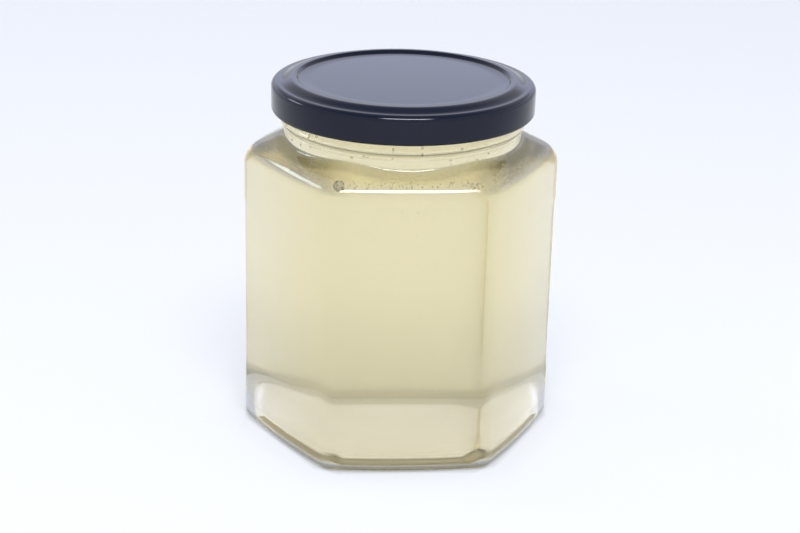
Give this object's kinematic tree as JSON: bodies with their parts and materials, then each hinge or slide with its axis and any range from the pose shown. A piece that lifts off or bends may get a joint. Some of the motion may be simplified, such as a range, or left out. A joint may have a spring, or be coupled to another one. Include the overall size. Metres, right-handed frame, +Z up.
{
  "type": "jar of honey",
  "caption": "Six-sided clear glass honey jar, full of pale clear honey, shut by a round black twist-off lid with a stepped top.",
  "frame": {"origin": "middle of the base, on the surface that the jar stands on", "axes": "+Z up along the jar's axis, -Y out of one of the six flat sides, +X towards a corner between two sides"},
  "size_m": [0.0882, 0.08, 0.1019],
  "materials": {
    "glass": "clear moulded jar glass, smooth and fire-polished, faint waviness",
    "honey": "pale clear honey with small air bubbles under the shoulder and in the neck",
    "lacquer": "black gloss lacquer on thin sheet steel"
  },
  "bodies": {
    "root": {"glass_jar": "glass", "honey": "honey", "lid": "lacquer"}
  },
  "joints": []
}
